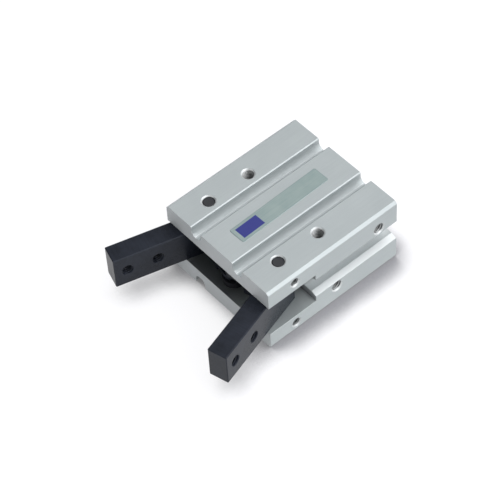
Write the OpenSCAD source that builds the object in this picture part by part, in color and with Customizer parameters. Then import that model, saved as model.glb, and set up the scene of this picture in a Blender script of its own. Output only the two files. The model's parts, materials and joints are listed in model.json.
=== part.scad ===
// Two-jaw angular pneumatic gripper, 20 mm bore, double acting.
// Millimetres. +X across the body, +Y to the rear, +Z up; the jaws point to -Y.
// The origin is the centre of the body's underside. Lengths named "setback" are measured
// rearwards from the front face. The rest pose has the jaws fully open.

/* [Body] */
// Width across the body
body_w = 53; // [51:0.5:60]
// Height from the underside to the top
body_h = 30; // [29:0.5:36]
// Chamfer along the four long outer edges
long_edge_chamfer = 1; // [0.4:0.1:1.6]
// Height of the slot that the jaws swing in
slot_h = 14.2; // [13:0.1:15]
// Thickness of the wall between the jaw slot and the cylinder
bulkhead = 8; // [7.5:0.25:10]

/* [Sensor grooves] */
// Width of each round-bottomed sensor groove
groove_w = 5; // [4.6:0.1:5.6]
// Depth of each sensor groove
groove_depth = 4.2; // [3.6:0.1:4.6]
// Distance between the two sensor grooves of one face
groove_spacing = 21.5; // [20:0.5:24]
// Chamfer on the lips of the sensor grooves
groove_lip = 0.35; // [0.1:0.05:0.6]

/* [Side grooves] */
// Height of each side groove behind its lips
side_groove_h = 7.6; // [6:0.2:8.4]
// Depth of each side groove
side_groove_depth = 6.2; // [4:0.2:6.6]
// Height of the sloping lip on each edge of a side groove
side_lip_h = 0.8; // [0.4:0.1:1]
// How far the sloping lip reaches into the groove
side_lip_depth = 2.4; // [1:0.2:3]

/* [Mounting threads] */
// Wall diameter of the M5 tapped holes
thread_d = 4.2; // [4:0.1:4.4]
// Width of the chamfer at the mouth of each tapped hole
thread_chamfer = 0.5; // [0.2:0.1:0.5]
// Distance between the two mounting threads of the top, and of the underside
mount_spacing = 36; // [34:0.5:38]
// Setback of the mounting threads in the top
upper_mount_setback = 30; // [29:0.5:34]
// Setback of the mounting threads in the underside
lower_mount_setback = 40; // [38:0.5:43]
// Thread depth in the top and the underside
mount_thread_depth = 8; // [5:0.5:8]
// Distance between the two mounting threads of the rear face
rear_spacing = 32; // [31:0.5:33]
// Thread depth in the rear face
rear_thread_depth = 8; // [5:0.5:10]

/* [Air ports] */
// Distance of the port axes above and below the middle of the body
port_offset = 7.3; // [7.2:0.1:7.8]
// Depth of the port threads
port_depth = 5; // [4:0.25:5]
// Distance of each port from the end of the cylinder
port_inset = 1.8; // [1.4:0.1:2.4]
// Diameter of the drilled air passages
passage_d = 2; // [1.2:0.2:2]

/* [Cylinder] */
// Bore of the cylinder
bore_d = 20; // [18:0.5:21]
// Thickness of the rear cover
cover_t = 5; // [4.5:0.25:6]
// Step from the bore out to the seat of the rear cover
cover_step = 1.2; // [1:0.1:1.5]
// Section of the rear cover's O-ring
cover_ring_d = 1.5; // [1.2:0.1:1.8]
// Thickness of the retaining ring
ring_t = 1; // [0.8:0.1:1.2]
// Width of the retaining ring's band
ring_band = 1.9; // [1.6:0.1:2.2]
// Depth of the retaining ring's groove
ring_groove_depth = 0.8; // [0.5:0.1:0.9]
// Wall between the retaining ring's groove and the rear face
ring_lip = 0.4; // [0.3:0.1:1]
// Thickness of the two rubber bumpers
bumper_t = 2; // [1.5:0.1:2.4]
// Radial gap between the bumpers and the bore, through which the air flows
bumper_gap = 2.4; // [2:0.1:3]

/* [Piston] */
// Length of the piston with its clamp disc
piston_l = 12; // [11:0.25:16]
// Thickness of the piston's lands
land_t = 1.2; // [1:0.1:1.4]
// Width of the wear ring's groove
wear_l = 2.4; // [1.8:0.1:2.6]
// Depth of the wear ring's groove below the bore
wear_depth = 1; // [0.8:0.1:1.4]
// Width of the piston seal's groove
piston_seal_l = 2.5; // [2:0.1:2.8]
// Depth of the piston seal's groove below the bore
seal_depth = 2.4; // [2:0.1:2.8]
// Radial thickness of the magnet
magnet_wall = 2.7; // [2:0.1:3]
// Thickness of the clamp disc
clamp_t = 1; // [0.8:0.1:1.3]

/* [Rod] */
// Diameter of the piston rod
rod_d = 8; // [7:0.5:9]
// Diameter of the threads at both ends of the rod
rod_thread_d = 5; // [4:0.5:5.5]
// Width across the flats of the piston nut
nut_af = 8; // [7:0.5:9]
// Thickness of the piston nut
nut_t = 2.4; // [2:0.1:2.6]
// Section of the O-ring between the rod and the piston
rod_ring_d = 0.9; // [0.7:0.1:1]
// Wall of the rod bush
bush_wall = 1.6; // [1.2:0.1:2]
// Radial section of the rod seal
rod_seal_wall = 2.5; // [2:0.1:2.8]
// Length of the rod seal
rod_seal_l = 1.9; // [1.6:0.1:2.4]
// Thickness of the disc that retains the rod seal
retainer_t = 0.8; // [0.6:0.1:1]

/* [Jaws] */
// Distance of the pivot pins from the sides of the body
pivot_inset = 8.5; // [8:0.25:9.5]
// Setback of the pivot pins
pivot_setback = 12; // [11:0.25:13]
// Diameter of the pivot pins
pivot_pin_d = 4.5; // [4:0.25:5]
// Width of a jaw's gripping arm
jaw_w = 7.6; // [7:0.1:8.5]
// Width of a jaw's lever arm
lever_w = 7.6; // [7.2:0.1:8.4]
// Distance from the pivot to the tip of the jaw
jaw_reach = 38.2; // [32:0.2:46]
// Chamfer on the outer edges of the jaws
jaw_chamfer = 0.3; // [0.2:0.1:0.6]
// Distance from the tip to the first tapped hole
jaw_hole_inset = 5; // [4:0.5:6]
// Distance between the two tapped holes of a jaw
jaw_hole_pitch = 11.5; // [10:0.5:14]
// Angle of each jaw outside parallel when open
open_angle = 16; // [12:0.5:17]
// Angle of each jaw inside parallel when closed
closed_angle = 5; // [2:0.5:6]

/* [Drive] */
// Diameter of the drive pin
drive_pin_d = 4; // [3.5:0.1:4.2]
// Width of the crosshead's two ears
ear_w = 8.6; // [7.8:0.1:9]
// Thickness of the crosshead's two ears
ear_t = 2.5; // [2:0.1:2.7]
// Thickness of the two tines of the forked lever
tine_t = 2.1; // [1.8:0.1:2.3]
// Thickness of the crosshead's web behind the levers
web_t = 2.7; // [2.4:0.1:3.5]
// Length of the crosshead's boss, which enters the rod passage when the jaws close
boss_l = 1.6; // [1:0.1:2]

/* [Set screws] */
// Wall diameter of the M4 holes that lock the pivot pins
screw_d = 3.3; // [3:0.1:3.5]
// Length of the set screws
screw_l = 4; // [3:0.25:4.5]
// Hexagon size of the set screws
screw_hex = 2; // [1.5:0.1:2]

/* [Label] */
// Length of the blank label
label_l = 40; // [20:1:44]
// Width of the blank label
label_w = 7.2; // [4:0.2:8]
// Setback of the label's front edge
label_setback = 8.6; // [6:0.2:12]
// Thickness of the label
label_t = 0.15; // [0.1:0.05:0.3]
// Turn of the label on the body
label_tilt = 1.5; // [-2:0.5:2]

/* [Clearances] */
// Play above and below the jaws in their slot
jaw_play = 0.1; // [0.1:0.05:0.4]
// Gap between neighbouring layers of levers and ears
layer_gap = 0.2; // [0.1:0.05:0.3]
// Play on each side of the drive pin in the lever slots
slot_play = 0.15; // [0.12:0.01:0.25]
// Radial running clearance of pins, rod and piston rings
running_gap = 0.03; // [0.02:0.01:0.08]
// Radial gap of pieces that are fitted into the body
fit_gap = 0.02; // [0.01:0.01:0.05]
// Gap that the swinging and sliding pieces keep from each other
swing_gap = 0.5; // [0.3:0.05:0.6]
// Gap to the bumpers at each end of the stroke
stop_gap = 0.3; // [0.2:0.05:0.4]

/* [Hidden] */

$fn = 64;
cut = 1;                                   // how far cutting solids run past a face
ring_play = 0.1;                           // end play of the retaining ring
pin_recess = 0.5;                          // pivot pin ends below the faces of the body
pin_chamfer = 0.35;
edge_break = 0.3;                          // chamfer on the ends of turned pieces
cover_dish = 0.8;                          // depth of the round dish in the back of the rear cover
rod_clearance = 0.4;                       // radial clearance round the rod where nothing guides it
rod_seal_lip = 0.8;                        // thickness of the rod seal's lips
piston_seal_waist = 0.5;                   // depth of the waist between the piston seal's lips
screw_point = 0.8;                         // length of the set screws' cone point
web_gap = 0.35;                            // gap between the levers and the crosshead's web when open
cover_ring_inset = 2.25;                   // setback of the cover's O-ring behind the cylinder's end
spigot_set = 0.4;                          // how far the rod's front spigot ends inside the web
mouth_chamfer = 0.45;                      // chamfer of the pivot pin holes
drill_angle = 59;                          // half the point angle of a drill

// Heights
mid_z = body_h / 2;
plate_t = (body_h - slot_h) / 2;
jaw_h = slot_h - 2 * jaw_play;
tongue_t = jaw_h - 2 * (ear_t + tine_t + 2 * layer_gap);
ear_z = mid_z + jaw_h / 2 - ear_t;         // underside of the upper ear
tine_z = ear_z - layer_gap - tine_t;       // underside of the upper tine

// The linkage: the drive pin runs on the centre line, the levers turn about the pivots
lever_l = body_w / 2 - pivot_inset;
pin_setback = pivot_setback - lever_l * tan(open_angle);
stroke = lever_l * (tan(open_angle) + tan(closed_angle));
lever_slot_end = lever_l - slot_play;      // centre of the round end of a lever's slot
lever_full = (lever_l - ear_w / 2 - swing_gap - lever_w / 2 * sin(open_angle)) / cos(open_angle);

// The crosshead, measured rearwards from the drive pin
web_front = lever_w / 2 / cos(open_angle) + web_gap;
web_back = web_front + web_t;
boss_back = web_back + boss_l;

// The cylinder, measured rearwards from the front face
slot_depth = pin_setback + stroke + web_back + swing_gap;
bush_seat = slot_depth + boss_l;
chamber_front = slot_depth + bulkhead;
seal_seat = chamber_front - retainer_t - rod_seal_l;
piston_front = chamber_front + bumper_t + stop_gap;
chamber_rear = piston_front + piston_l + stroke + stop_gap + bumper_t;
cover_ring_setback = chamber_rear + cover_ring_inset;
cover_back = chamber_rear + cover_t;
ring_setback = cover_back + ring_play;
body_l = ring_setback + ring_t + ring_lip;

// Radii round the cylinder's axis
bore_r = bore_d / 2;
rod_r = rod_d / 2;
bush_r = rod_r + bush_wall;
seal_r = rod_r + rod_seal_wall;
bumper_r = bore_r - bumper_gap;
cover_r = bore_r + cover_step;
ring_groove_r = cover_r + ring_groove_depth;
nut_r = nut_af / 2 / cos(30);
nut_recess_r = nut_r + 4 * stop_gap;
nut_recess_l = nut_t - bumper_t + swing_gap;
piston_r = bore_r - 10 * running_gap;
ring_r = bore_r - running_gap;             // outside of the wear ring and the seal

// The piston's lands and grooves, measured from its front face
wear_floor_r = bore_r - wear_depth;
seal_floor_r = bore_r - seal_depth;
magnet_r = piston_r - 10 * fit_gap;
hub_r = magnet_r - magnet_wall;
seal_start = land_t + wear_l + land_t;
magnet_start = seal_start + piston_seal_l + land_t;
clamp_start = piston_l - clamp_t;
rod_ring_r = rod_thread_d / 2 + rod_ring_d / 2 + fit_gap;

// O-ring of the rear cover
cover_ring_r = cover_r - fit_gap - cover_ring_d / 2;

anodised = [0.72, 0.75, 0.76];
black_steel = [0.15, 0.16, 0.19];
bright_steel = [0.62, 0.63, 0.65];
dark_steel = [0.26, 0.27, 0.29];
bronze = [0.72, 0.55, 0.32];
rubber = [0.10, 0.10, 0.11];

// ---- Helpers ----

// Moves a shape that stands on the XY plane onto the cylinder's axis, pointing rearwards
module on_axis(setback) {
    translate([0, setback - body_l / 2, mid_z]) rotate([-90, 0, 0]) children();
}

// Draws the two mirrored copies of a shape at x > 0
module both_sides() {
    children();
    mirror([1, 0, 0]) children();
}

module tube(outer_r, inner_r, length) {
    difference() {
        cylinder(r = outer_r, h = length);
        translate([0, 0, -cut]) cylinder(r = inner_r, h = length + 2 * cut);
    }
}

// Round bar with both end edges broken
module chamfered_rod(r, length, c) {
    rotate_extrude() polygon([[0, 0], [r - c, 0], [r, c], [r, length - c], [r - c, length], [0, length]]);
}

// Rectangle from low to high with its corners cut off
module chamfered_rect(low, high, c) {
    polygon([
        [low[0] + c, low[1]], [high[0] - c, low[1]], [high[0], low[1] + c], [high[0], high[1] - c],
        [high[0] - c, high[1]], [low[0] + c, high[1]], [low[0], high[1] - c], [low[0], low[1] + c]
    ]);
}

// Block from low to high with all twelve edges chamfered
module chamfered_block(low, high, c) {
    intersection() {
        translate([0, 0, low[2]]) linear_extrude(high[2] - low[2])
            chamfered_rect([low[0], low[1]], [high[0], high[1]], c);
        translate([0, high[1], 0]) rotate([90, 0, 0]) linear_extrude(high[1] - low[1])
            chamfered_rect([low[0], low[2]], [high[0], high[2]], c);
        translate([low[0], 0, 0]) rotate([90, 0, 90]) linear_extrude(high[0] - low[0])
            chamfered_rect([low[1], low[2]], [high[1], high[2]], c);
    }
}

// Cutter of a blind tapped hole that goes down from the XY plane
module tapped_hole(d, depth, chamfer) {
    translate([0, 0, -depth]) cylinder(d = d, h = depth + cut);
    translate([0, 0, -depth]) mirror([0, 0, 1]) cylinder(d1 = d, d2 = 0, h = d / 2 / tan(drill_angle));
    hole_mouth(d, chamfer);
}

// Cutter of the chamfer at a hole's mouth on the XY plane
module hole_mouth(d, chamfer) {
    translate([0, 0, -chamfer]) cylinder(d1 = d, d2 = d + 2 * (chamfer + cut), h = chamfer + cut);
}

// ---- The body ----

// Half of one sensor groove pair: a round-bottomed channel with broken lips, seen from the front
module groove_section() {
    floor_y = body_h - groove_depth + groove_w / 2;
    translate([groove_spacing / 2, 0]) {
        translate([0, floor_y]) circle(d = groove_w);
        translate([-groove_w / 2, floor_y]) square([groove_w, groove_depth]);
        polygon([
            [-groove_w / 2, body_h - groove_lip], [groove_w / 2, body_h - groove_lip],
            [groove_w / 2 + groove_lip + cut, body_h + cut], [-groove_w / 2 - groove_lip - cut, body_h + cut]
        ]);
    }
}

// One side groove with sloping lips, seen from the front
module side_groove_section() {
    half = side_groove_h / 2;
    inner = body_w / 2 - side_groove_depth;
    lip = body_w / 2 - side_lip_depth;
    slope = side_lip_h / side_lip_depth;
    mouth = half + side_lip_h + slope * cut;
    translate([0, mid_z]) polygon([
        [inner, -half], [lip, -half], [body_w / 2 + cut, -mouth],
        [body_w / 2 + cut, mouth], [lip, half], [inner, half]
    ]);
}

// The extruded profile, seen from the front
module body_section() {
    difference() {
        chamfered_rect([-body_w / 2, 0], [body_w / 2, body_h], long_edge_chamfer);
        both_sides() {
            groove_section();
            translate([0, body_h]) mirror([0, 1]) groove_section();
            side_groove_section();
        }
    }
}

// Cylinder, cover seat, ring groove and the stepped rod passage
module cylinder_cut() {
    on_axis(chamber_front) cylinder(r = bore_r, h = body_l);
    on_axis(chamber_rear) cylinder(r = cover_r, h = body_l);
    on_axis(ring_setback - ring_play / 2) cylinder(r = ring_groove_r, h = ring_t + ring_play);
    on_axis(slot_depth - cut) cylinder(r = bush_r + fit_gap, h = bulkhead + 2 * cut);
    on_axis(seal_seat) cylinder(r = seal_r + fit_gap, h = bulkhead);
}

// Air port on the right side at a setback and height: a tapped mouth and a passage to the bore
module air_port(setback, z) {
    reach = sqrt(bore_r * bore_r - port_offset * port_offset) - cut;
    translate([body_w / 2, setback - body_l / 2, z]) rotate([0, 90, 0])
        tapped_hole(thread_d, port_depth, thread_chamfer);
    translate([reach, setback - body_l / 2, z]) rotate([0, 90, 0])
        cylinder(d = passage_d, h = body_w / 2 - port_depth - reach);
}

// Pivot pin hole through both plates, and the two set screw holes that reach it
module pivot_cut() {
    translate([lever_l, pivot_setback - body_l / 2, 0]) {
        translate([0, 0, -cut]) cylinder(d = pivot_pin_d + 2 * fit_gap, h = body_h + 2 * cut);
        translate([0, 0, body_h]) hole_mouth(pivot_pin_d + 2 * fit_gap, mouth_chamfer);
        mirror([0, 0, 1]) hole_mouth(pivot_pin_d + 2 * fit_gap, mouth_chamfer);
    }
    for (z = [plate_t / 2, body_h - plate_t / 2])
        translate([body_w / 2, pivot_setback - body_l / 2, z]) rotate([0, 90, 0]) {
            translate([0, 0, lever_l - body_w / 2]) cylinder(d = screw_d, h = body_w / 2 - lever_l + cut);
            hole_mouth(screw_d, thread_chamfer);
        }
}

module mounting_threads() {
    both_sides() {
        translate([mount_spacing / 2, upper_mount_setback - body_l / 2, body_h])
            tapped_hole(thread_d, mount_thread_depth, thread_chamfer);
        translate([mount_spacing / 2, lower_mount_setback - body_l / 2, 0]) mirror([0, 0, 1])
            tapped_hole(thread_d, mount_thread_depth, thread_chamfer);
        translate([rear_spacing / 2, body_l / 2, mid_z]) rotate([-90, 0, 0])
            tapped_hole(thread_d, rear_thread_depth, thread_chamfer);
    }
}

module body() {
    color(anodised) difference() {
        translate([0, body_l / 2, 0]) rotate([90, 0, 0]) linear_extrude(body_l) body_section();
        translate([-body_w / 2 - cut, -body_l / 2 - cut, plate_t])
            cube([body_w + 2 * cut, slot_depth + cut, slot_h]);
        cylinder_cut();
        air_port(chamber_front + port_inset, mid_z - port_offset);
        air_port(chamber_rear - port_inset, mid_z + port_offset);
        both_sides() pivot_cut();
        mounting_threads();
    }
}

module label_plate() {
    color([0.62, 0.69, 0.68])
        translate([0, label_setback + label_l / 2 - body_l / 2, body_h + label_t / 2])
            rotate(label_tilt) cube([label_w, label_l, label_t], center = true);
}

// ---- The closed end ----

module rear_cover() {
    color(anodised) difference() {
        on_axis(chamber_rear) chamfered_rod(cover_r - fit_gap, cover_t, edge_break);
        on_axis(chamber_rear - cut) cylinder(r = nut_recess_r, h = nut_recess_l + cut);
        on_axis(cover_back - cover_dish) cylinder(r = bore_r * 0.6, h = cover_dish + cut);
        on_axis(cover_ring_setback - cover_ring_d * 0.6)
            tube(cover_r + cut, cover_ring_r - cover_ring_d / 2 - fit_gap, cover_ring_d * 1.2);
    }
}

module cover_o_ring() {
    color(rubber) on_axis(cover_ring_setback)
        rotate_extrude() translate([cover_ring_r, 0]) circle(d = cover_ring_d, $fn = 32);
}

// Internal circlip with two pliers lugs at its gap
module retaining_ring() {
    lug_r = ring_band * 0.85;
    lug_hole_r = lug_r / 2;
    gap_angle = 34;
    lug_at = cover_r - lug_r - 10 * fit_gap;
    color(bright_steel) on_axis(ring_setback) difference() {
        union() {
            difference() {
                tube(ring_groove_r - fit_gap, ring_groove_r - ring_band, ring_t);
                translate([0, 0, -cut]) linear_extrude(ring_t + 2 * cut) polygon([
                    [0, 0], [-tan(gap_angle / 2) * 2 * cover_r, 2 * cover_r],
                    [tan(gap_angle / 2) * 2 * cover_r, 2 * cover_r]
                ]);
            }
            for (side = [-1, 1])
                rotate(90 + side * gap_angle * 0.62) translate([lug_at, 0, 0]) cylinder(r = lug_r, h = ring_t);
        }
        for (side = [-1, 1])
            rotate(90 + side * gap_angle * 0.62) translate([lug_at, 0, -cut])
                cylinder(r = lug_hole_r, h = ring_t + 2 * cut);
    }
}

module rear_bumper() {
    color(rubber) on_axis(chamber_rear - bumper_t) tube(bumper_r, nut_recess_r, bumper_t);
}

// ---- The rod end ----

module front_bumper() {
    color(rubber) on_axis(chamber_front) tube(bumper_r, rod_r + rod_clearance, bumper_t);
}

module rod_bush() {
    color(bronze) on_axis(bush_seat) tube(bush_r, rod_r + running_gap, seal_seat - bush_seat);
}

// Lip seal: a ring with a groove in the face that holds the pressure
module rod_seal() {
    inner = rod_r + running_gap;
    color(rubber) on_axis(seal_seat) rotate_extrude() polygon([
        [inner, 0], [seal_r, 0], [seal_r, rod_seal_l], [seal_r - rod_seal_lip, rod_seal_l],
        [(inner + seal_r) / 2, rod_seal_l * 0.45], [inner + rod_seal_lip, rod_seal_l], [inner, rod_seal_l]
    ]);
}

module seal_retainer() {
    color(bright_steel) on_axis(seal_seat + rod_seal_l)
        tube(seal_r, rod_r + rod_clearance, retainer_t);
}

// ---- Pivots ----

module pivot_pin() {
    translate([lever_l, pivot_setback - body_l / 2, pin_recess])
        chamfered_rod(pivot_pin_d / 2, body_h - 2 * pin_recess, pin_chamfer);
}

module left_pivot_pin() { color(dark_steel) mirror([1, 0, 0]) pivot_pin(); }

module right_pivot_pin() { color(dark_steel) pivot_pin(); }

// Hexagon socket set screw with a cone point, one in each plate
module set_screws() {
    r = screw_d / 2 - fit_gap;
    tip = lever_l + pivot_pin_d / 2 + fit_gap;
    for (z = [plate_t / 2, body_h - plate_t / 2])
        translate([tip, pivot_setback - body_l / 2, z]) rotate([0, 90, 0]) difference() {
            rotate_extrude() polygon([
                [0, 0], [r * 0.35, 0], [r, screw_point], [r, screw_l - edge_break],
                [r - edge_break, screw_l], [0, screw_l]
            ]);
            translate([0, 0, screw_l / 2]) cylinder(d = screw_hex / cos(30), h = screw_l, $fn = 6);
        }
}

module left_set_screws() { color(dark_steel) mirror([1, 0, 0]) set_screws(); }

module right_set_screws() { color(dark_steel) set_screws(); }

// ---- The piston, which slides ----

module piston() {
    color(bright_steel) difference() {
        union() {
            on_axis(piston_front) chamfered_rod(piston_r, magnet_start, edge_break);
            on_axis(piston_front) cylinder(r = hub_r, h = clamp_start);
        }
        on_axis(piston_front + land_t) tube(bore_r + cut, wear_floor_r, wear_l);
        on_axis(piston_front + seal_start) tube(bore_r + cut, seal_floor_r, piston_seal_l);
        on_axis(piston_front - cut) cylinder(r = rod_thread_d / 2 + fit_gap, h = piston_l + 2 * cut);
        on_axis(piston_front + land_t) cylinder(r = rod_ring_r + rod_ring_d / 2 + fit_gap, h = rod_ring_d * 1.3);
    }
}

module piston_wear_ring() {
    color([0.85, 0.83, 0.74]) on_axis(piston_front + land_t + fit_gap)
        tube(ring_r, wear_floor_r + fit_gap, wear_l - 2 * fit_gap);
}

// Double-acting seal with a lip at each end
module piston_seal() {
    inner = seal_floor_r + fit_gap;
    color(rubber) on_axis(piston_front + seal_start + fit_gap) rotate_extrude() polygon([
        [inner, 0], [ring_r, 0], [ring_r, piston_seal_l * 0.25],
        [ring_r - piston_seal_waist, piston_seal_l * 0.4], [ring_r - piston_seal_waist, piston_seal_l * 0.6],
        [ring_r, piston_seal_l * 0.75],
        [ring_r, piston_seal_l - 2 * fit_gap], [inner, piston_seal_l - 2 * fit_gap]
    ]);
}

module piston_magnet() {
    color([0.20, 0.19, 0.19]) on_axis(piston_front + magnet_start)
        tube(magnet_r, hub_r + fit_gap, clamp_start - magnet_start);
}

module magnet_clamp() {
    color(bright_steel) on_axis(piston_front + clamp_start)
        tube(piston_r, rod_thread_d / 2 + fit_gap, clamp_t);
}

module piston_nut() {
    color(bright_steel) on_axis(piston_front + piston_l) difference() {
        cylinder(r = nut_r, h = nut_t, $fn = 6);
        translate([0, 0, -cut]) cylinder(r = rod_thread_d / 2 + fit_gap, h = nut_t + 2 * cut);
    }
}

module rod_o_ring() {
    color(rubber) on_axis(piston_front + land_t + rod_ring_d * 0.65)
        rotate_extrude() translate([rod_ring_r, 0]) circle(d = rod_ring_d, $fn = 32);
}

// Ground rod with a threaded spigot at each end
module piston_rod() {
    front = pin_setback + boss_back;
    color([0.80, 0.81, 0.83]) {
        on_axis(pin_setback + web_front + spigot_set)
            cylinder(d = rod_thread_d, h = boss_back - web_front);
        on_axis(front) chamfered_rod(rod_r, piston_front - front, edge_break);
        on_axis(piston_front - spigot_set) cylinder(d = rod_thread_d, h = piston_l + nut_t + spigot_set);
    }
}

// Clevis on the end of the rod: two ears that hold the drive pin, and a web behind the levers
module crosshead() {
    half = ear_w / 2;
    color(dark_steel) translate([0, pin_setback - body_l / 2, 0]) difference() {
        union() {
            for (z = [ear_z, body_h - ear_z - ear_t]) translate([0, 0, z]) {
                cylinder(d = ear_w, h = ear_t);
                translate([-half, 0, 0]) cube([ear_w, web_back, ear_t]);
            }
            translate([0, 0, mid_z - jaw_h / 2]) linear_extrude(jaw_h) polygon([
                [0, web_front], [half, web_front + half * tan(open_angle)], [half, web_back],
                [-half, web_back], [-half, web_front + half * tan(open_angle)]
            ]);
            translate([0, web_back, mid_z]) rotate([-90, 0, 0]) cylinder(r = bush_r - rod_clearance, h = boss_l);
        }
        translate([0, 0, -cut]) cylinder(d = drive_pin_d + 2 * fit_gap, h = body_h);
        translate([0, web_front - cut, mid_z]) rotate([-90, 0, 0])
            cylinder(d = rod_thread_d + 2 * fit_gap, h = boss_back);
    }
}

module drive_pin() {
    color(bright_steel) translate([0, pin_setback - body_l / 2, mid_z - jaw_h / 2])
        chamfered_rod(drive_pin_d / 2, jaw_h, edge_break);
}

// ---- The jaws, which turn about their pivots ----

// One layer of a lever's inner end: round, with a slot for the drive pin that is open at its end
module lever_end(z, t) {
    translate([0, 0, z]) difference() {
        union() {
            translate([-lever_slot_end, 0, 0]) cylinder(d = lever_w, h = t);
            translate([-lever_slot_end, -lever_w / 2, 0]) cube([lever_slot_end, lever_w, t]);
        }
        translate([-lever_slot_end, 0, -cut]) cylinder(d = drive_pin_d + 2 * slot_play, h = t + 2 * cut);
        translate([-lever_slot_end - lever_w, -drive_pin_d / 2 - slot_play, -cut])
            cube([lever_w, drive_pin_d + 2 * slot_play, t + 2 * cut]);
    }
}

// The right jaw about its pivot with both arms square to the body; layers are [z, thickness]
module jaw(layers) {
    low_z = mid_z - jaw_h / 2;
    high_z = mid_z + jaw_h / 2;
    difference() {
        union() {
            chamfered_block([-jaw_w / 2, -jaw_reach, low_z], [jaw_w / 2, lever_w / 2, high_z], jaw_chamfer);
            chamfered_block([-lever_full, -lever_w / 2, low_z], [0, lever_w / 2, high_z], jaw_chamfer);
            for (layer = layers) lever_end(layer[0], layer[1]);
        }
        cylinder(d = pivot_pin_d + 2 * running_gap, h = body_h);
        for (i = [0, 1]) translate([0, jaw_hole_inset + i * jaw_hole_pitch - jaw_reach, mid_z]) {
            rotate([0, 90, 0]) translate([0, 0, -jaw_w]) cylinder(d = thread_d, h = 2 * jaw_w);
            for (side = [-1, 1]) rotate([0, side * 90, 0]) translate([0, 0, jaw_w / 2])
                hole_mouth(thread_d, thread_chamfer / 2);
        }
    }
}

// Puts a jaw on the right pivot, turned out by the open angle
module open_jaw() {
    translate([lever_l, pivot_setback - body_l / 2, 0]) rotate(open_angle) children();
}

module left_jaw() {
    color(black_steel) mirror([1, 0, 0]) open_jaw() jaw([[tine_z, tine_t], [body_h - tine_z - tine_t, tine_t]]);
}

module right_jaw() {
    color(black_steel) open_jaw() jaw([[mid_z - tongue_t / 2, tongue_t]]);
}

body();
label_plate();
rear_cover();
cover_o_ring();
retaining_ring();
rear_bumper();
front_bumper();
rod_bush();
rod_seal();
seal_retainer();
left_pivot_pin();
right_pivot_pin();
left_set_screws();
right_set_screws();
piston();
piston_wear_ring();
piston_seal();
piston_magnet();
magnet_clamp();
piston_nut();
rod_o_ring();
piston_rod();
crosshead();
drive_pin();
left_jaw();
right_jaw();
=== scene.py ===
"""Looks, light and camera of the two-jaw angular gripper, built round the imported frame."""

import json
import math

import bmesh
import bpy
from mathutils import Matrix, Vector


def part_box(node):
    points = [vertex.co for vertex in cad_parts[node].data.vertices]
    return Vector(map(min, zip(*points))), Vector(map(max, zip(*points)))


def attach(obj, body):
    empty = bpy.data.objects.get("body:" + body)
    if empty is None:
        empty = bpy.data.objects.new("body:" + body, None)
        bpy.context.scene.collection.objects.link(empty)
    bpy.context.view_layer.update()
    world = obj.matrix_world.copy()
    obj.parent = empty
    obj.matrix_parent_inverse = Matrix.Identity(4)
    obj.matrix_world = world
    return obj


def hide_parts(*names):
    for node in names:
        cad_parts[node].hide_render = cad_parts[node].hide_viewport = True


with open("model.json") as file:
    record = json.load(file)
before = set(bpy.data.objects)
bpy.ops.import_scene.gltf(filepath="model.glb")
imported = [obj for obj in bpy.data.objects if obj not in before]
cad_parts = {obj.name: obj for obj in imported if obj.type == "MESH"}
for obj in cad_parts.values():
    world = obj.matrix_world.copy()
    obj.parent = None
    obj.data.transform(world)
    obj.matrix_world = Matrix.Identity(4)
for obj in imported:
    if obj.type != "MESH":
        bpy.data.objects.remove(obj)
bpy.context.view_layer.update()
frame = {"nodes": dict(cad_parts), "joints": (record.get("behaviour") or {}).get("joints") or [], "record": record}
nodes = frame["nodes"]
mounts = {mount["name"]: mount for mount in frame["record"]["mounts"]}

MM = 0.001
OPEN_ANGLE = math.radians(16)  # of each jaw at rest
BODY_LOW, BODY_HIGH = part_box("body")
BODY_MIDDLE = (BODY_LOW.z + BODY_HIGH.z) / 2  # height of the cylinder's axis

# Tapped holes, in millimetres
M4_RADIUS, M4_PITCH = 1.65, 0.7
M5_RADIUS, M5_PITCH = 2.1, 0.8
HOLE_CHAMFER = 0.5
MOUNT_THREAD = 7.2  # length of thread in a mounting hole
THREAD_MARGIN = 0.2  # left plain at each end of a threaded hole

# Label, in millimetres
LABEL_LENGTH, LABEL_WIDTH = 40.0, 7.2
LABEL_TILT = math.radians(1.5)
LABEL_CORNER = 0.7
LABEL_EDGE = 0.05  # chamfer round the top
FIELD_START, FIELD_END, FIELD_INSET = 1.5, 11.0, 1.2  # the blue field


# ---- Shader helpers ----


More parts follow.
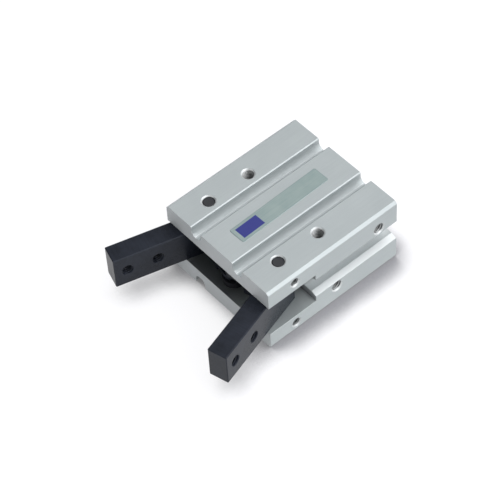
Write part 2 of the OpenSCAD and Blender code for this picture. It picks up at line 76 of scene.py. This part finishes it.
class Tree:
    """A cleared node tree, and short calls to fill it."""

    def __init__(self, owner):
        owner.use_nodes = True
        self.tree = owner.node_tree
        self.tree.nodes.clear()

    def add(self, kind, **values):
        node = self.tree.nodes.new(kind)
        for key, value in values.items():
            setattr(node, key, value)
        return node

    def link(self, source, target):
        self.tree.links.new(source, target)

    def feed(self, target, value):
        """Sets an input to a number or colour, or links it to a socket."""
        if isinstance(value, bpy.types.NodeSocket):
            self.link(value, target)
        elif isinstance(value, (tuple, list)) and len(value) == 3 and target.type == "RGBA":
            target.default_value = (*value, 1)
        else:
            target.default_value = value

    def math(self, operation, a, b=0.0):
        node = self.add("ShaderNodeMath", operation=operation)
        self.feed(node.inputs[0], a)
        self.feed(node.inputs[1], b)
        return node.outputs[0]

    def ramp(self, value, low, high, to_low=0.0, to_high=1.0):
        node = self.add("ShaderNodeMapRange", clamp=True)
        self.feed(node.inputs["Value"], value)
        self.feed(node.inputs["From Min"], low)
        self.feed(node.inputs["From Max"], high)
        self.feed(node.inputs["To Min"], to_low)
        self.feed(node.inputs["To Max"], to_high)
        return node.outputs["Result"]

    def product(self, *factors):
        total = factors[0]
        for factor in factors[1:]:
            total = self.math("MULTIPLY", total, factor)
        return total

    def largest(self, *values):
        total = values[0]
        for value in values[1:]:
            total = self.math("MAXIMUM", total, value)
        return total

    def mix(self, factor, a, b):
        node = self.add("ShaderNodeMix", data_type="RGBA")
        self.feed(node.inputs["Factor"], factor)
        self.feed(node.inputs["A"], a)
        self.feed(node.inputs["B"], b)
        return node.outputs["Result"]

    def split(self, vector):
        node = self.add("ShaderNodeSeparateXYZ")
        self.link(vector, node.inputs[0])
        return node.outputs

    def dot(self, a, b):
        node = self.add("ShaderNodeVectorMath", operation="DOT_PRODUCT")
        self.feed(node.inputs[0], a)
        self.feed(node.inputs[1], b)
        return node.outputs["Value"]

    def invert(self, value):
        return self.math("SUBTRACT", 1.0, value)


class Shader(Tree):
    """A node material with one Principled shader."""

    def __init__(self, name, color, roughness, metallic=0.0):
        self.material = bpy.data.materials.new(name)
        super().__init__(self.material)
        self.bsdf = self.add("ShaderNodeBsdfPrincipled")
        self.link(self.bsdf.outputs[0], self.add("ShaderNodeOutputMaterial").inputs[0])
        self.set("Base Color", (*color, 1))
        self.set("Roughness", roughness)
        self.set("Metallic", metallic)
        self.material.diffuse_color = (*color, 1)

    def set(self, name, value):
        self.feed(self.bsdf.inputs[name], value)

    def coords(self, centre=(0, 0, 0), angle=0.0, scale=(1, 1, 1)):
        """Coordinates in millimetres about a centre and turned by an angle, squeezed by scale."""
        source = self.add("ShaderNodeTexCoord").outputs["Object"]
        node = self.add("ShaderNodeMapping", vector_type="TEXTURE")
        node.inputs["Location"].default_value = centre
        node.inputs["Rotation"].default_value = (0, 0, angle)
        node.inputs["Scale"].default_value = [MM / s for s in scale]
        self.link(source, node.inputs["Vector"])
        return node.outputs[0]

    def noise(self, vector, scale, detail=2.0, roughness=0.5):
        node = self.add("ShaderNodeTexNoise")
        self.link(vector, node.inputs["Vector"])
        node.inputs["Scale"].default_value = scale
        node.inputs["Detail"].default_value = detail
        node.inputs["Roughness"].default_value = roughness
        return node.outputs["Fac"]

    def specks(self, vector, scale, size):
        """1 in small round spots, 0 elsewhere."""
        node = self.add("ShaderNodeTexVoronoi")
        self.link(vector, node.inputs["Vector"])
        node.inputs["Scale"].default_value = scale
        return self.ramp(node.outputs["Distance"], size * 0.6, size, 1.0, 0.0)

    def rings(self, centre, axis, pitch):
        """Turning marks: fine waves in the distance from an axis through a centre."""
        parts = self.split(self.coords(centre))
        u, v = [parts[i] for i in range(3) if i != axis]
        squares = self.math("ADD", self.product(u, u), self.product(v, v))
        waves = self.math("SINE", self.product(self.math("SQRT", squares), math.tau / pitch))
        return self.ramp(waves, -1.0, 1.0)

    def edges(self, radius):
        """1 along the outer and inner edges of the mesh, 0 on its faces; and the rounded normal."""
        bevel = self.add("ShaderNodeBevel", samples=6)
        bevel.inputs["Radius"].default_value = radius
        normal = self.add("ShaderNodeNewGeometry").outputs["Normal"]
        turned = self.dot(bevel.outputs[0], normal)
        return self.ramp(turned, 0.80, 0.995, 1.0, 0.0), bevel.outputs[0]

    def recess(self, distance, low, high):
        """1 deep inside the part's own holes and corners, 0 in the open."""
        node = self.add("ShaderNodeAmbientOcclusion", samples=8, only_local=True)
        node.inputs["Distance"].default_value = distance
        return self.ramp(node.outputs["AO"], low, high, 1.0, 0.0)

    def band(self, value, low, high, fade=0.05):
        """1 from low to high, fading to 0 outside."""
        rise = self.ramp(value, low - fade, low)
        return self.product(rise, self.ramp(value, high, high + fade, 1.0, 0.0))

    def slopes(self):
        """How far the face leans along x, y and z, either way: 0 to 1 each."""
        normal = self.split(self.add("ShaderNodeTexCoord").outputs["Normal"])
        return [self.math("ABSOLUTE", part) for part in normal]

    def facing(self, axis, low=0.9, high=0.98):
        """1 on faces square to an axis (0, 1 or 2), either way round."""
        return self.ramp(self.slopes()[axis], low, high)

    def bump(self, height, distance, strength, normal=None):
        node = self.add("ShaderNodeBump")
        node.inputs["Strength"].default_value = strength
        node.inputs["Distance"].default_value = distance
        self.link(height, node.inputs["Height"])
        if normal is not None:
            self.link(normal, node.inputs["Normal"])
        self.link(node.outputs[0], self.bsdf.inputs["Normal"])


# ---- Materials ----

CONE_SLOPE = (0.66, 0.75)  # slopes along the hole of a 45 degree countersink
LIP_SLOPE = (0.30, 0.34)  # of the side grooves' lips


def body_masks(s):
    """On the body: its countersinks, the lips of its side grooves, and its shaded places."""
    nx, ny, nz = s.slopes()
    cones = s.largest(s.band(nx, *CONE_SLOPE), s.band(nz, *CONE_SLOPE))
    least = s.math("MINIMUM", nx, s.math("MINIMUM", ny, nz))
    shaded = s.recess(6 * MM, 0.80, 0.95)
    countersinks = s.product(cones, s.ramp(least, 0.01, 0.04), shaded)
    # Where painted shade goes: deep in the holes and grooves, not on the countersinks.
    inside = s.product(s.recess(6 * MM, 0.45, 0.74), s.invert(countersinks))
    lips = s.product(s.band(nx, *LIP_SLOPE), s.invert(inside))
    return countersinks, lips, shaded, inside


def body_place(s):
    """On the body, in millimetres: x, z, and the distance above or below its middle."""
    x, _, z = s.split(s.coords())
    return x, z, s.math("ABSOLUTE", s.math("SUBTRACT", z, BODY_MIDDLE / MM))


def body_painted_shade(s, countersinks):
    """Painted shade in deep corners, on the jaw slot's end wall and floor, and in the grooves underneath."""
    x, z, from_middle = body_place(s)
    corners = s.recess(3 * MM, 0.15, 0.70)
    end_wall_shade = s.product(s.recess(10 * MM, 0.40, 0.96), s.facing(1, 0.2, 0.6))
    slot_floor = s.product(s.facing(2), s.ramp(from_middle, 7.6, 8.4, 1.0, 0.0))
    slot_floor_shade = s.product(slot_floor, s.ramp(x, -21.0, -16.0), s.ramp(x, 3.0, 11.0, 0.85, 0.1))
    below = s.product(s.ramp(z, 4.4, 5.0, 1.0, 0.0), s.recess(6 * MM, 0.55, 0.90), 0.7)
    corner_and_wall_shade = s.product(s.largest(corners, end_wall_shade), s.invert(countersinks))
    return s.largest(corner_and_wall_shade, slot_floor_shade, below)


def painted_light_ledges(s, shaded):
    """Painted light on the floors of the side grooves, and on a little of the outer floor of the jaw slot, where
    they lie in shade.
    """
    x, _, from_middle = body_place(s)
    outer = s.ramp(s.math("ABSOLUTE", x), 19.0, 21.0)
    return s.product(s.facing(2), outer, shaded, s.ramp(from_middle, 4.5, 6.5, 0.6, 0.2))


def anodised_material():
    """Matt clear anodised extrusion: streaks along its length, milled ends, worn broken edges with a painted
    highlight, painted shade in its recesses, painted highlights on its cuts and painted light on its groove
    ledges.
    """
    s = Shader("anodised_body", (0.47, 0.50, 0.505), 0.40, 0.55)
    streaks = s.noise(s.coords(scale=(1, 0.03, 1)), 2.2, 3.0, 0.6)
    clouds = s.noise(s.coords(), 0.06, 2.0)
    grain = s.noise(s.coords(), 5.0, 3.0, 0.6)
    ends = s.facing(1)
    milled = s.noise(s.coords(scale=(0.05, 1, 1)), 2.5, 2.0, 0.5)
    marks = s.mix(ends, streaks, milled)
    tone = s.math("ADD", s.product(marks, 0.5), s.product(clouds, 0.5))
    edge, bevelled = s.edges(0.14 * MM)
    edge_wear_and_highlight = s.product(edge, s.ramp(s.noise(s.coords(), 0.8, 3.0), 0.35, 0.6, 0.35, 0.9))
    countersinks, lips, shaded, inside = body_masks(s)
    # Painted highlights on the countersinks and on the side grooves' lips.
    painted_cut_highlight = s.largest(countersinks, s.product(lips, 0.6))
    color = s.mix(s.ramp(tone, 0.3, 0.7), (0.435, 0.475, 0.490), (0.49, 0.535, 0.545))
    for mask, amount, tint in (
        (ends, 0.7, (0.70, 0.73, 0.75)),
        (s.specks(s.coords(), 0.55, 0.10), 0.2, (0.32, 0.34, 0.35)),
        # Worn edges, lighter also as a painted highlight.
        (edge_wear_and_highlight, 1.0, (0.66, 0.685, 0.695)),
        # Painted shade deep in the holes and grooves.
        (inside, 0.3, (0.20, 0.21, 0.22)),
        (painted_cut_highlight, 0.8, (0.82, 0.84, 0.85)),
        # Painted shade, nearly black, in corners, on the jaw slot's end wall and floor, and in the grooves
        # underneath.
        (body_painted_shade(s, countersinks), 0.9, (0.04, 0.045, 0.05)),
        # Painted light on the shaded floors of the side grooves and on the jaw slot's outer edge.
        (painted_light_ledges(s, shaded), 1.0, (0.84, 0.87, 0.88)),
    ):
        color = s.mix(s.product(mask, amount), color, tint)
    s.set("Base Color", color)
    dull = s.largest(s.product(ends, 0.65), inside)
    s.set("Metallic", s.math("SUBTRACT", 0.50, s.product(dull, 0.45)))
    rough = s.ramp(s.math("ADD", grain, marks), 0.6, 1.4, 0.38, 0.48)
    s.set("Roughness", s.math("ADD", rough, s.product(dull, 0.25)))
    s.bump(s.math("ADD", s.product(grain, 0.5), marks), 0.006 * MM, 0.6, bevelled)
    return s.material


def black_oxide(name, centre, angle, color, roughness):
    """Black oxide on milled steel: marks across each arm, a sheen, and thin bright edges that are worn and carry a
    painted highlight.
    """
    s = Shader(name, color, roughness)
    local = s.coords(centre, angle)
    along = s.noise(s.coords(centre, angle, (0.06, 1, 0.5)), 2.4, 3.0, 0.6)
    clouds = s.noise(local, 0.12, 3.0, 0.55)
    grain = s.noise(local, 6.0, 2.0, 0.6)
    dark = tuple(c * 0.75 for c in color)
    light = tuple(c * 1.5 for c in color)
    tone = s.math("ADD", s.product(along, 0.4), s.product(clouds, 0.6))
    shade = s.mix(s.ramp(tone, 0.35, 0.65), dark, light)
    scuffs = s.ramp(s.noise(s.coords(centre, angle, (0.25, 1.6, 1)), 0.9, 4.0, 0.7), 0.62, 0.75)
    shade = s.mix(s.product(scuffs, 0.35), shade, tuple(c * 4 for c in color))
    edge, bevelled = s.edges(0.12 * MM)
    edge_wear_and_highlight = s.product(edge, s.ramp(s.noise(local, 0.7, 3.0), 0.45, 0.7, 0.05, 0.55))
    # Worn edges, lighter also as a painted highlight.
    s.set("Base Color", s.mix(edge_wear_and_highlight, shade, (0.16, 0.165, 0.18)))
    rough = s.ramp(s.math("ADD", grain, clouds), 0.6, 1.4, roughness - 0.05, roughness + 0.07)
    s.set("Roughness", s.math("SUBTRACT", rough, s.product(scuffs, 0.05)))
    s.set("IOR", 1.32)
    s.set("Specular Tint", (0.84, 0.89, 1.0, 1))
    s.bump(s.math("ADD", s.product(grain, 0.4), along), 0.006 * MM, 0.5, bevelled)
    return s.material


def turned_material(name, color, roughness, metallic, centre, axis, pitch, depth):
    """Lathe-turned metal: rings about its axis, a little grain and stain."""
    s = Shader(name, color, roughness, metallic)
    rings = s.rings(centre, axis, pitch)
    stain = s.noise(s.coords(centre), 0.35, 3.0, 0.6)
    grain = s.noise(s.coords(centre), 6.0, 2.0)
    dark = tuple(c * 0.94 for c in color)
    light = tuple(min(c * 1.03, 1) for c in color)
    s.set("Base Color", s.mix(s.ramp(stain, 0.35, 0.65), dark, light))
    rough = s.ramp(s.math("ADD", grain, rings), 0.3, 1.5, roughness - 0.05, roughness + 0.08)
    s.set("Roughness", rough)
    bevelled = s.edges(0.1 * MM)[1]
    s.bump(s.math("ADD", rings, s.product(grain, 0.3)), depth * MM, 0.6, bevelled)
    return s.material


def rubber_material():
    """Matt nitrile rubber with a dusty bloom and a fine moulded grain."""
    s = Shader("rubber", (0.018, 0.018, 0.02), 0.62)
    bloom = s.noise(s.coords(), 0.5, 4.0, 0.65)
    grain = s.noise(s.coords(), 9.0, 2.0)
    s.set("Base Color", s.mix(s.ramp(bloom, 0.4, 0.7), (0.015, 0.015, 0.017), (0.04, 0.04, 0.042)))
    s.set("Roughness", s.ramp(grain, 0.3, 0.7, 0.55, 0.72))
    s.set("Sheen Weight", 0.15)
    s.bump(grain, 0.01 * MM, 0.5)
    return s.material


def grained_material(name, dark, light, roughness, metallic, scale, depth):
    """Pressed or sintered stuff: mottled colour and an even grain."""
    s = Shader(name, light, roughness, metallic)
    mottle = s.noise(s.coords(), scale * 0.25, 3.0, 0.6)
    grain = s.noise(s.coords(), scale, 3.0, 0.65)
    pores = s.specks(s.coords(), scale * 0.5, 0.22)
    shade = s.mix(s.ramp(mottle, 0.35, 0.65), dark, light)
    s.set("Base Color", s.mix(s.product(pores, 0.5), shade, tuple(c * 0.5 for c in dark)))
    s.set("Roughness", s.ramp(grain, 0.3, 0.7, roughness - 0.08, roughness + 0.08))
    s.bump(s.math("SUBTRACT", grain, pores), depth * MM, 0.6)
    return s.material


def label_material(centre):
    """Satin metallised film with a plain blue field and a fine border; nothing is printed on it."""
    s = Shader("blank_label", (0.50, 0.58, 0.565), 0.32, 0.45)
    local = s.coords(centre, LABEL_TILT)
    x, y = s.split(local)[:2]
    brush = s.noise(s.coords(centre, LABEL_TILT, (1, 0.02, 1)), 3.0, 3.0, 0.6)
    clouds = s.noise(local, 0.18, 2.0)
    tone = s.math("ADD", s.product(brush, 0.5), s.product(clouds, 0.5))
    film = s.mix(s.ramp(tone, 0.35, 0.65), (0.28, 0.365, 0.365), (0.35, 0.43, 0.42))
    from_side = s.math("SUBTRACT", LABEL_WIDTH / 2, s.math("ABSOLUTE", x))
    from_end = s.math("SUBTRACT", LABEL_LENGTH / 2, s.math("ABSOLUTE", y))
    rim = s.ramp(s.math("MINIMUM", from_side, from_end), 0.28, 0.36, 1.0, 0.0)
    film = s.mix(s.product(rim, 0.5), film, (0.25, 0.32, 0.33))
    along = s.math("ADD", y, LABEL_LENGTH / 2)
    ink = s.product(s.ramp(from_side, FIELD_INSET - 0.1, FIELD_INSET),
                    s.ramp(along, FIELD_START, FIELD_START + 0.1),
                    s.ramp(along, FIELD_END, FIELD_END + 0.1, 1.0, 0.0))
    s.set("Base Color", s.mix(ink, film, (0.022, 0.030, 0.22)))
    s.set("Metallic", s.math("SUBTRACT", 0.45, s.product(ink, 0.35)))
    s.set("Roughness", s.ramp(tone, 0.3, 0.7, 0.28, 0.38))
    s.set("Coat Weight", 0.25)
    s.set("Coat Roughness", 0.2)
    s.bump(brush, 0.002 * MM, 0.4)
    return s.material


# ---- Added pieces ----


def mesh_piece(name, verts, faces, body, material):
    mesh = bpy.data.meshes.new(name)
    mesh.from_pydata([Vector(v) * MM for v in verts], [], faces)
    mesh.materials.append(material)
    shape = bmesh.new()
    shape.from_mesh(mesh)
    bmesh.ops.recalc_face_normals(shape, faces=shape.faces)
    shape.to_mesh(mesh)
    shape.free()
    piece = bpy.data.objects.new(name, mesh)
    bpy.context.scene.collection.objects.link(piece)
    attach(piece, body)
    return piece


def thread(name, mouth, outward, radius, pitch, length, body, material):
    """The helical ridge of a tapped hole that goes in from its mouth, in millimetres."""
    steps = 28  # a turn
    root_sink, crest_rise = 0.04, 0.36 * pitch
    root_half, crest_half = 0.36, 0.07  # half widths of the ridge, in pitches
    fade = steps * 0.3  # steps over which the ridge rises at each end
    outward = Vector(outward).normalized()
    side = outward.orthogonal().normalized()
    up = outward.cross(side)
    root = radius + root_sink
    total = int(length / pitch * steps)
    verts, faces = [], []
    for i in range(total + 1):
        turn = math.tau * i / steps
        crest = radius - crest_rise * min(1.0, i / fade, (total - i) / fade)
        ray = side * math.cos(turn) + up * math.sin(turn)
        corners = ((root, -root_half), (crest, -crest_half), (crest, crest_half), (root, root_half))
        for r, offset in corners:
            depth = pitch * (i / steps + offset)
            verts.append(Vector(mouth) + ray * r - outward * depth)
        if i:
            a, b = 4 * (i - 1), 4 * i
            faces += [(a + k, a + (k + 1) % 4, b + (k + 1) % 4, b + k) for k in range(4)]
    last = 4 * total
    faces += [(0, 1, 2, 3), (last + 3, last + 2, last + 1, last)]
    mesh_piece(name, verts, faces, body, material)


def add_threads(thread_material, jaw_materials):
    """A thread in every tapped hole of the body and the jaws."""
    for name, mount in mounts.items():
        pos = Vector(mount["pos_m"]) / MM
        axis = Vector(mount["axis"])
        if mount["kind"] == "threaded_hole":
            length = mount["dims"]["length_mm"]
            mouth = pos + axis * (length / 2 - THREAD_MARGIN)
            body = "housing" if name.endswith("port") else name[: name.index("jaw") + 3]
            material = jaw_materials.get(body, thread_material)
            thread(f"{name}_ridge", mouth, axis, M5_RADIUS, M5_PITCH, length - 2 * THREAD_MARGIN,
                   body, material)
        elif mount["kind"] == "bolt_pattern":
            half = mount["dims"]["spacing_x_mm"] / 2
            for side, word in ((1, "right"), (-1, "left")):
                mouth = pos + Vector((side * half, 0, 0)) - axis * HOLE_CHAMFER
                thread(f"{name}_{word}_ridge", mouth, axis, M5_RADIUS, M5_PITCH, MOUNT_THREAD,
                       "housing", thread_material)


def add_screw_threads(material):
    """The M4 thread left free outside each set screw."""
    mouth_x = BODY_HIGH.x / MM - HOLE_CHAMFER
    for side, word in ((1, "right"), (-1, "left")):
        low, high = (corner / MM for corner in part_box(f"{word}_set_screws"))
        screw_end = max(abs(low.x), abs(high.x))
        for z, level in ((low.z + M4_RADIUS, "lower"), (high.z - M4_RADIUS, "upper")):
            mouth = Vector((side * mouth_x, (low.y + high.y) / 2, z))
            thread(f"{word}_{level}_screw_ridge", mouth, (side, 0, 0), M4_RADIUS, M4_PITCH,
                   mouth_x - screw_end, "housing", material)


def add_label():
    """The label film with rounded corners, in the place of the plain CAD plate."""
    low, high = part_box("label_plate")
    centre = (low + high) / 2
    steps = 8  # a corner
    straight_x, straight_y = LABEL_WIDTH / 2 - LABEL_CORNER, LABEL_LENGTH / 2 - LABEL_CORNER
    outline = []
    for side_x, side_y, start in ((1, 1, 0), (-1, 1, 90), (-1, -1, 180), (1, -1, 270)):
        for i in range(steps + 1):
            turn = math.radians(start + 90 * i / steps)
            outline.append((side_x * straight_x + LABEL_CORNER * math.cos(turn),
                            side_y * straight_y + LABEL_CORNER * math.sin(turn)))
    tilt = Matrix.Rotation(LABEL_TILT, 3, "Z")
    middle = Vector((centre.x, centre.y, 0)) / MM
    bottom, top = low.z / MM, high.z / MM
    verts = []
    for inset, z in ((0.0, bottom), (0.0, top - LABEL_EDGE), (LABEL_EDGE, top)):
        shrink_x = 1 - 2 * inset / LABEL_WIDTH
        shrink_y = 1 - 2 * inset / LABEL_LENGTH
        verts += [middle + tilt @ Vector((x * shrink_x, y * shrink_y, z)) for x, y in outline]
    n = len(outline)
    faces = [tuple(range(n - 1, -1, -1)), tuple(range(2 * n, 3 * n))]
    for a in (0, n):
        faces += [(a + i, a + (i + 1) % n, a + n + (i + 1) % n, a + n + i) for i in range(n)]
    label = mesh_piece("label_film", verts, faces, "housing",
                       label_material(tuple(centre)))
    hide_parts("label_plate")


# ---- Dressing the frame ----


def dress(node, material):
    mesh = nodes[node].data
    mesh.materials.clear()
    mesh.materials.append(material)
    for face in mesh.polygons:
        face.material_index = 0


def pivot(side):
    """The pivot of a jaw, in metres."""
    return next(tuple(j["pos_m"]) for j in frame["joints"] if j["child"] == f"{side}_jaw")


cylinder_axis = (0, 0, BODY_MIDDLE)

body_metal = anodised_material()
jaw_color = (0.0125, 0.0150, 0.0220)
jaw_metal = {
    "left_jaw": black_oxide("jaw_black_left", pivot("left"), -OPEN_ANGLE, jaw_color, 0.28),
    "right_jaw": black_oxide("jaw_black_right", pivot("right"), OPEN_ANGLE, jaw_color, 0.28),
}
crosshead_steel = black_oxide("blackened_steel", cylinder_axis, 0.0, (0.016, 0.017, 0.02), 0.38)
screw_steel = black_oxide("screw_black", cylinder_axis, 0.0, (0.012, 0.012, 0.014), 0.36)
rubber = rubber_material()

# Name, dark and light colour, roughness, metallic, scale and depth of the grain
thread_metal = grained_material(
    "tapped_thread", (0.32, 0.33, 0.335), (0.44, 0.45, 0.455), 0.4, 0.5, 6.0, 0.004)
# The thread again, darker, as painted shade inside the set screw holes.
screw_hole_metal_painted_shade = grained_material(
    "screw_hole_thread_painted_shade", (0.17, 0.18, 0.185), (0.25, 0.26, 0.265), 0.4, 0.5, 6.0, 0.004)
spring_steel = grained_material(
    "spring_steel", (0.10, 0.10, 0.105), (0.17, 0.17, 0.175), 0.45, 0.6, 5.0, 0.005)
bronze = grained_material(
    "bronze", (0.42, 0.26, 0.11), (0.58, 0.38, 0.18), 0.42, 0.9, 4.0, 0.01)
wear_plastic = grained_material(
    "wear_plastic", (0.66, 0.63, 0.53), (0.76, 0.73, 0.62), 0.5, 0.0, 3.0, 0.004)
magnet = grained_material(
    "magnet", (0.05, 0.048, 0.048), (0.10, 0.095, 0.095), 0.5, 0.3, 5.0, 0.008)

# Name, colour, roughness, metallic, centre, axis, pitch and depth of the turning marks
cover_metal = turned_material(
    "cover_metal", (0.66, 0.69, 0.70), 0.36, 0.7, cylinder_axis, 1, 0.4, 0.006)
piston_metal = turned_material(
    "piston_metal", (0.70, 0.71, 0.72), 0.3, 0.9, cylinder_axis, 1, 0.35, 0.004)
zinc_steel = turned_material(
    "zinc_steel", (0.52, 0.53, 0.54), 0.28, 0.95, cylinder_axis, 1, 0.3, 0.003)
rod_chrome = turned_material(
    "rod_chrome", (0.72, 0.73, 0.75), 0.14, 1.0, cylinder_axis, 1, 0.25, 0.001)
pin_steel = {
    side: turned_material(
        f"dark_pin_{side}", (0.035, 0.037, 0.042), 0.34, 0.3, pivot(side), 2, 0.5, 0.006)
    for side in ("left", "right")
}

for node, material in {
    "body": body_metal,
    "rear_cover": cover_metal,
    "cover_o_ring": rubber,
    "retaining_ring": spring_steel,
    "rear_bumper": rubber,
    "front_bumper": rubber,
    "rod_bush": bronze,
    "rod_seal": rubber,
    "seal_retainer": spring_steel,
    "left_pivot_pin": pin_steel["left"],
    "right_pivot_pin": pin_steel["right"],
    "left_set_screws": screw_steel,
    "right_set_screws": screw_steel,
    "piston": piston_metal,
    "piston_wear_ring": wear_plastic,
    "piston_seal": rubber,
    "piston_magnet": magnet,
    "magnet_clamp": piston_metal,
    "piston_nut": zinc_steel,
    "rod_o_ring": rubber,
    "piston_rod": rod_chrome,
    "crosshead": crosshead_steel,
    "drive_pin": crosshead_steel,
    "left_jaw": jaw_metal["left_jaw"],
    "right_jaw": jaw_metal["right_jaw"],
}.items():
    dress(node, material)

add_label()
add_threads(thread_metal, jaw_metal)
add_screw_threads(screw_hole_metal_painted_shade)


# ---- Camera ----

CAMERA_AZIMUTH, CAMERA_ELEVATION, CAMERA_ROLL = (math.radians(a) for a in (51.9, 51.3, -3.83))
CAMERA_TARGET = Vector((-3.7, -12.06, 11.4)) * MM
CAMERA_DISTANCE = 0.732
CAMERA_LENS = 151.2


def add_camera():
    """A long lens, above the right front corner of the body, rolled a little."""
    back = Vector((
        math.sin(CAMERA_AZIMUTH) * math.cos(CAMERA_ELEVATION),
        -math.cos(CAMERA_AZIMUTH) * math.cos(CAMERA_ELEVATION),
        math.sin(CAMERA_ELEVATION),
    ))
    level = Vector((math.cos(CAMERA_AZIMUTH), math.sin(CAMERA_AZIMUTH), 0))
    upright = back.cross(level)
    right = level * math.cos(CAMERA_ROLL) + upright * math.sin(CAMERA_ROLL)
    up = upright * math.cos(CAMERA_ROLL) - level * math.sin(CAMERA_ROLL)
    data = bpy.data.cameras.new("camera")
    data.sensor_width = 36
    data.lens = CAMERA_LENS
    data.clip_start = 0.01
    data.clip_end = 50
    camera = bpy.data.objects.new("camera", data)
    turn = Matrix((right, up, back)).transposed().to_4x4()
    camera.matrix_world = Matrix.Translation(CAMERA_TARGET + back * CAMERA_DISTANCE) @ turn
    bpy.context.scene.collection.objects.link(camera)
    bpy.context.scene.camera = camera


# ---- Floor, light and world ----

FLOOR_RADIUS = 6.0
FLOOR_DROP = 0.02 * MM  # below the underside
SHADOW_REACH = 12 * MM
SHADOW_LEAN = (-0.35, -0.30, 0.89)  # the open side of the floor's painted shadow
REFLECTED_FLOOR = 0.45  # how bright metal sees the floor

ROOM_AXIS, ROOM_FRONT, ROOM_REAR = Vector((0.2, 1.0, 0.3)), 0.12, 0.52
# Direction, degrees from it at which the light starts and is full, and strength
SOFT_LIGHTS = (
    ((0.32, 0.40, 0.86), 50, 14, 1.93),  # soft box, high on the right
    ((0.0, -1.0, 0.12), 40, 10, 1.25),  # front fill
    ((1.0, 0.10, 0.25), 48, 10, 1.35),  # side fill
)


def floor_material():
    """White where nothing is near, with a painted shadow, darker where the object is near; clear from below."""
    material = bpy.data.materials.new("floor")
    t = Tree(material)
    near = t.add("ShaderNodeAmbientOcclusion", samples=12)
    near.inputs["Distance"].default_value = SHADOW_REACH
    lean = t.add("ShaderNodeCombineXYZ")
    for socket, value in zip(lean.inputs, SHADOW_LEAN):
        socket.default_value = value
    t.link(lean.outputs[0], near.inputs["Normal"])
    # Painted shadow: the floor's glow to the camera dims where the object is near.
    clear = t.ramp(near.outputs["AO"], 0.55, 0.88, 0.14, 0.86)
    path = t.add("ShaderNodeLightPath").outputs
    camera = path["Is Camera Ray"]
    mirrored = t.largest(path["Is Glossy Ray"], path["Is Transmission Ray"])
    glow = t.add("ShaderNodeEmission")
    strength = t.math("ADD", t.product(camera, clear), t.product(mirrored, REFLECTED_FLOOR))
    t.feed(glow.inputs["Strength"], strength)
    diffuse = t.add("ShaderNodeBsdfDiffuse")
    # To the camera the floor's diffuse is darker, so that its painted shadow shows.
    t.feed(diffuse.inputs["Color"], t.mix(camera, (0.45, 0.45, 0.455), (0.19, 0.19, 0.212)))
    both = t.add("ShaderNodeAddShader")
    t.link(diffuse.outputs[0], both.inputs[0])
    t.link(glow.outputs[0], both.inputs[1])
    one_sided = t.add("ShaderNodeMixShader")
    t.link(t.add("ShaderNodeNewGeometry").outputs["Backfacing"], one_sided.inputs[0])
    t.link(both.outputs[0], one_sided.inputs[1])
    t.link(t.add("ShaderNodeBsdfTransparent").outputs[0], one_sided.inputs[2])
    t.link(one_sided.outputs[0], t.add("ShaderNodeOutputMaterial").inputs[0])
    return material


def add_floor():
    """A plain pale round floor."""
    mesh = bpy.data.meshes.new("floor")
    sides = 96
    turns = [math.tau * i / sides for i in range(sides)]
    ring = [(FLOOR_RADIUS * math.cos(a), FLOOR_RADIUS * math.sin(a), 0) for a in turns]
    mesh.from_pydata(ring, [], [tuple(range(sides))])
    mesh.materials.append(floor_material())
    floor = bpy.data.objects.new("floor", mesh)
    floor.location.z = -FLOOR_DROP
    bpy.context.scene.collection.objects.link(floor)


def add_key_light():
    """A weak, wide lamp from above, a little to the right and the rear."""
    data = bpy.data.lights.new("key", "SUN")
    data.energy = 0.12
    data.angle = math.radians(50)
    lamp = bpy.data.objects.new("key", data)
    lamp.rotation_euler = Vector((0.3, 0.2, 1.0)).to_track_quat("Z", "Y").to_euler()
    bpy.context.scene.collection.objects.link(lamp)


def set_world():
    """A room darker in front, with the soft lights; white to the camera."""
    world = bpy.data.worlds.new("studio")
    bpy.context.scene.world = world
    t = Tree(world)
    direction = t.add("ShaderNodeTexCoord").outputs["Generated"]
    light = t.ramp(t.dot(direction, ROOM_AXIS.normalized()), -0.3, 0.6, ROOM_FRONT, ROOM_REAR)
    for toward, start, full, strength in SOFT_LIGHTS:
        nearness = t.dot(direction, Vector(toward).normalized())
        lamp = t.ramp(nearness, math.cos(math.radians(start)), math.cos(math.radians(full)),
                      0.0, strength)
        light = t.math("ADD", light, lamp)
    seen = t.add("ShaderNodeLightPath").outputs["Is Camera Ray"]
    background = t.add("ShaderNodeBackground")
    t.feed(background.inputs["Color"], t.mix(seen, light, (1.0, 1.0, 1.0)))
    t.link(background.outputs[0], t.add("ShaderNodeOutputWorld").inputs[0])


add_camera()
add_floor()
add_key_light()
set_world()
bpy.context.scene.view_settings.view_transform = "Standard"
